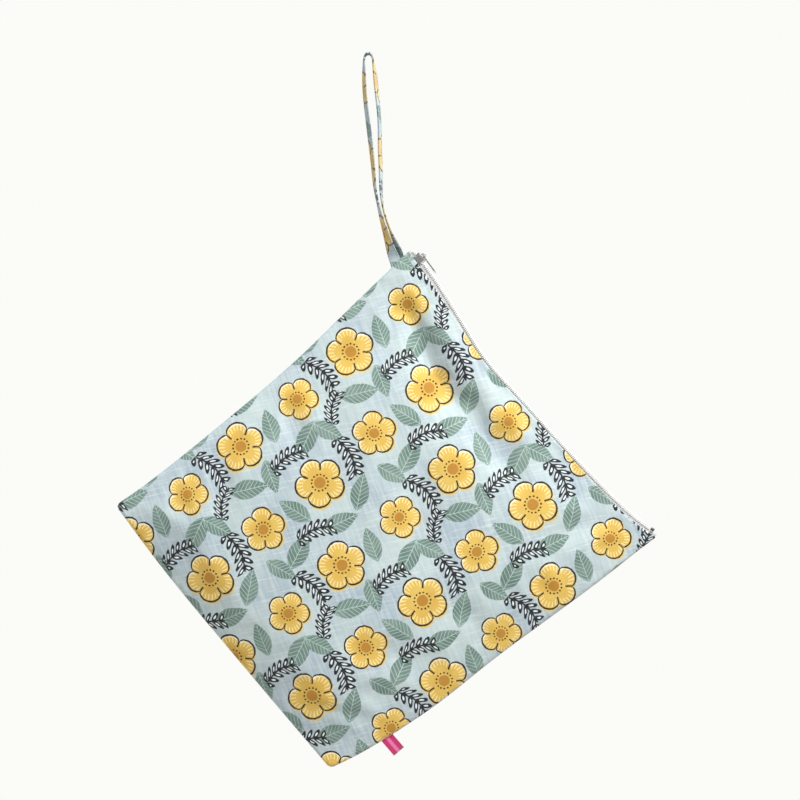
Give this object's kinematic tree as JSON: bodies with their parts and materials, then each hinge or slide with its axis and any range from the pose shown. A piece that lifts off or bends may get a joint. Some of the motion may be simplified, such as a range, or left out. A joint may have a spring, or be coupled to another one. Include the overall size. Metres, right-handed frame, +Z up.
{
  "type": "toiletry bag",
  "caption": "Flat square toiletry bag of printed cloth with a zip mouth, hanging from its corner by a narrow wrist strap, with a small side label.",
  "frame": {"origin": "inside of the top of the strap's loop, where the bag hangs", "axes": "+Z up, -Y towards the viewer of the bag's front, +X to the right of the front"},
  "size_m": [0.426, 0.0255, 0.5654],
  "materials": {
    "cloth": "printed cotton canvas, pale blue with yellow, sage and dark motifs, soft sheen",
    "strap": "folded and stitched band of the same printed cotton",
    "zip_tape": "white woven polyester tape",
    "zip_coil": "white nylon coil",
    "slider_metal": "nickel-plated, lightly worn",
    "stop_metal": "dark pressed metal",
    "label": "folded satin ribbon, magenta"
  },
  "bodies": {
    "bag": {"front_panel": "cloth", "back_panel": "cloth", "zip_tape_front": "zip_tape", "zip_tape_back": "zip_tape", "zip_coil": "zip_coil", "zip_slider": "slider_metal", "zip_end_stop": "stop_metal", "wrist_strap": "strap", "side_label": "label"},
    "zip_pull": {"zip_pull": "slider_metal"}
  },
  "joints": [
    {"name": "zip_pull_hinge", "type": "hinge", "parent": "bag", "child": "zip_pull", "pos_m": [0.04329, 0, -0.16021], "axis": [0, -1, 0], "range_deg": [0, 170]}
  ]
}
